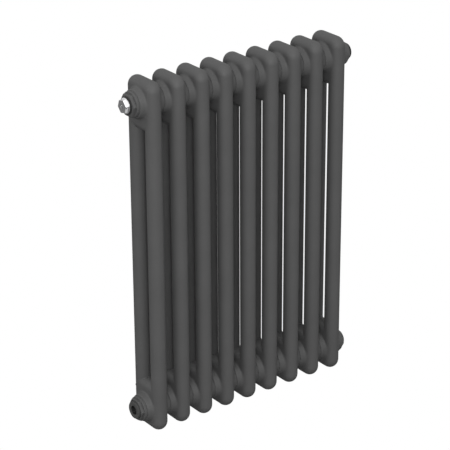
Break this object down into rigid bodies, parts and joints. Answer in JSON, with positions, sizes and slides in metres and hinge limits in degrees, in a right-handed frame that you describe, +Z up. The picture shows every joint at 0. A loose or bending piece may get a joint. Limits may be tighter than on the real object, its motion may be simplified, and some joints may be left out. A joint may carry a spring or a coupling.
{
  "type": "column radiator",
  "caption": "Tubular steel column radiator with rounded heads, hexagon end bushes, open bottom valve ports and an air vent whose bleed screw turns.",
  "frame": {"origin": "under the middle section's centre, at the level of the bottom heads' undersides, midway between the front and rear columns", "axes": "+Z up, +X along the radiator from the vent end to the blanked end, -Y the room side, +Y the wall side"},
  "size_m": [0.4404, 0.0698, 0.6],
  "materials": {
    "anthracite_paint": "satin powder coat",
    "chrome": "polished",
    "plated_steel": "plated, satin",
    "black_rubber": "matt",
    "fibre": "matt"
  },
  "bodies": {
    "radiator": {"head_top_1": "anthracite_paint", "head_top_2": "anthracite_paint", "head_top_3": "anthracite_paint", "head_top_4": "anthracite_paint", "head_top_5": "anthracite_paint", "head_top_6": "anthracite_paint", "head_top_7": "anthracite_paint", "head_top_8": "anthracite_paint", "head_top_9": "anthracite_paint", "tube_front_1": "anthracite_paint", "tube_front_2": "anthracite_paint", "tube_front_3": "anthracite_paint", "tube_front_4": "anthracite_paint", "tube_front_5": "anthracite_paint", "tube_front_6": "anthracite_paint", "tube_front_7": "anthracite_paint", "tube_front_8": "anthracite_paint", "tube_front_9": "anthracite_paint", "tube_rear_1": "anthracite_paint", "tube_rear_2": "anthracite_paint", "tube_rear_3": "anthracite_paint", "tube_rear_4": "anthracite_paint", "tube_rear_5": "anthracite_paint", "tube_rear_6": "anthracite_paint", "tube_rear_7": "anthracite_paint", "tube_rear_8": "anthracite_paint", "tube_rear_9": "anthracite_paint", "head_bottom_1": "anthracite_paint", "head_bottom_2": "anthracite_paint", "head_bottom_3": "anthracite_paint", "head_bottom_4": "anthracite_paint", "head_bottom_5": "anthracite_paint", "head_bottom_6": "anthracite_paint", "head_bottom_7": "anthracite_paint", "head_bottom_8": "anthracite_paint", "head_bottom_9": "anthracite_paint", "bush_top_left": "anthracite_paint", "bush_bottom_left": "anthracite_paint", "bush_top_right": "anthracite_paint", "bush_bottom_right": "anthracite_paint", "washer_top_left": "fibre", "washer_bottom_left": "fibre", "washer_top_right": "fibre", "washer_bottom_right": "fibre", "vent_plug": "chrome", "vent_seal": "black_rubber", "blanking_plug": "anthracite_paint", "blanking_seal": "black_rubber"},
    "bleed_carriage": {"bleed_seal": "black_rubber"},
    "bleed_screw": {"bleed_screw": "plated_steel"}
  },
  "joints": [
    {"name": "bleed_travel", "type": "slide", "parent": "radiator", "child": "bleed_carriage", "axis": [-1, 0, 0], "range_m": [0, 0.001]},
    {"name": "bleed_turn", "type": "hinge", "parent": "bleed_carriage", "child": "bleed_screw", "pos_m": [-0.22, 0, 0.5625], "axis": [-1, 0, 0], "range_deg": [0, 360]}
  ],
  "couplings": [
    {"joint": "bleed_turn", "follows": "bleed_travel", "rad_per_m": 6283.2}
  ]
}
